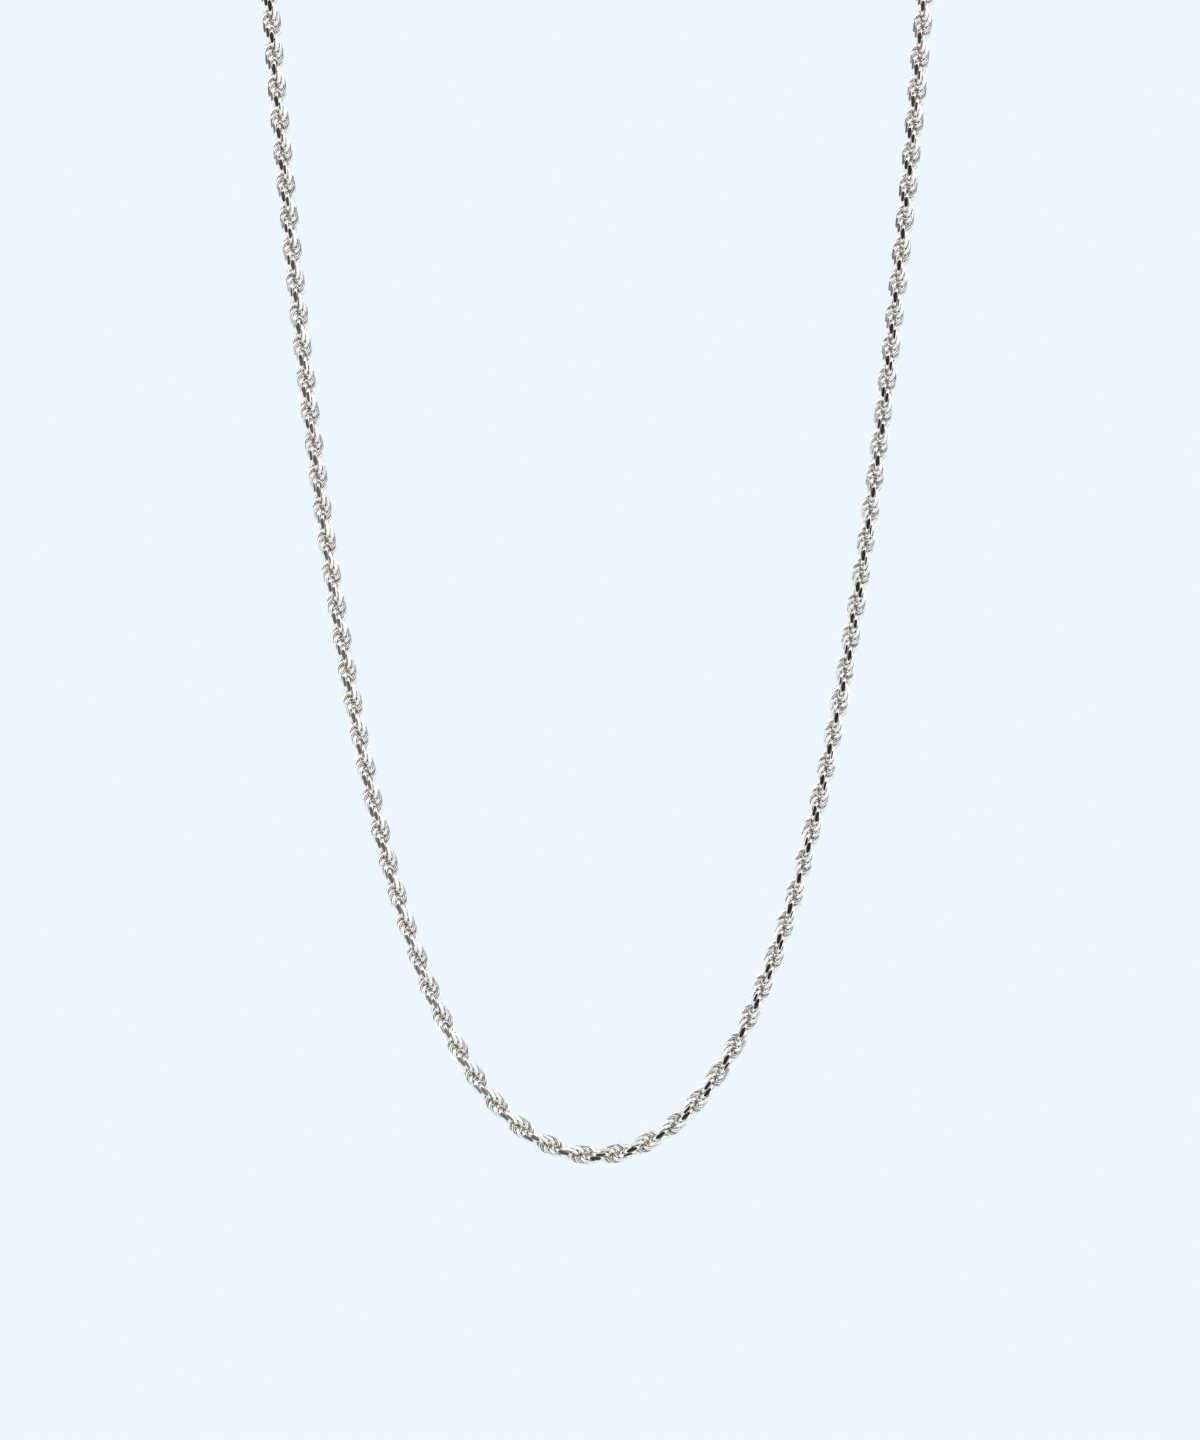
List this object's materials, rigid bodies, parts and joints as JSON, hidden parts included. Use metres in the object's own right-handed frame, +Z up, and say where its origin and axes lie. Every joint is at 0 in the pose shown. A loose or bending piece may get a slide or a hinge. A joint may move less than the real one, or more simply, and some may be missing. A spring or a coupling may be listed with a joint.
{
  "type": "rope chain necklace",
  "caption": "Silver diamond-cut rope chain necklace in one closed loop, hanging in a narrow U from a plain barrel clasp.",
  "frame": {"origin": "middle of the clasp's underside, the inner side of the top of the loop, where the necklace hangs", "axes": "+Z up, from the lowest point of the chain to the clasp; the loop lies in the XZ plane and +Y is through its thickness"},
  "size_m": [0.085, 0.0038, 0.2153],
  "materials": {
    "rope_silver": "bright polished silver links with flat diamond-cut facets and light tarnish in the grooves",
    "clasp_silver": "polished silver with fine hairline wear"
  },
  "bodies": {
    "root": {"rope_chain": "rope_silver", "clasp": "clasp_silver"}
  },
  "joints": []
}
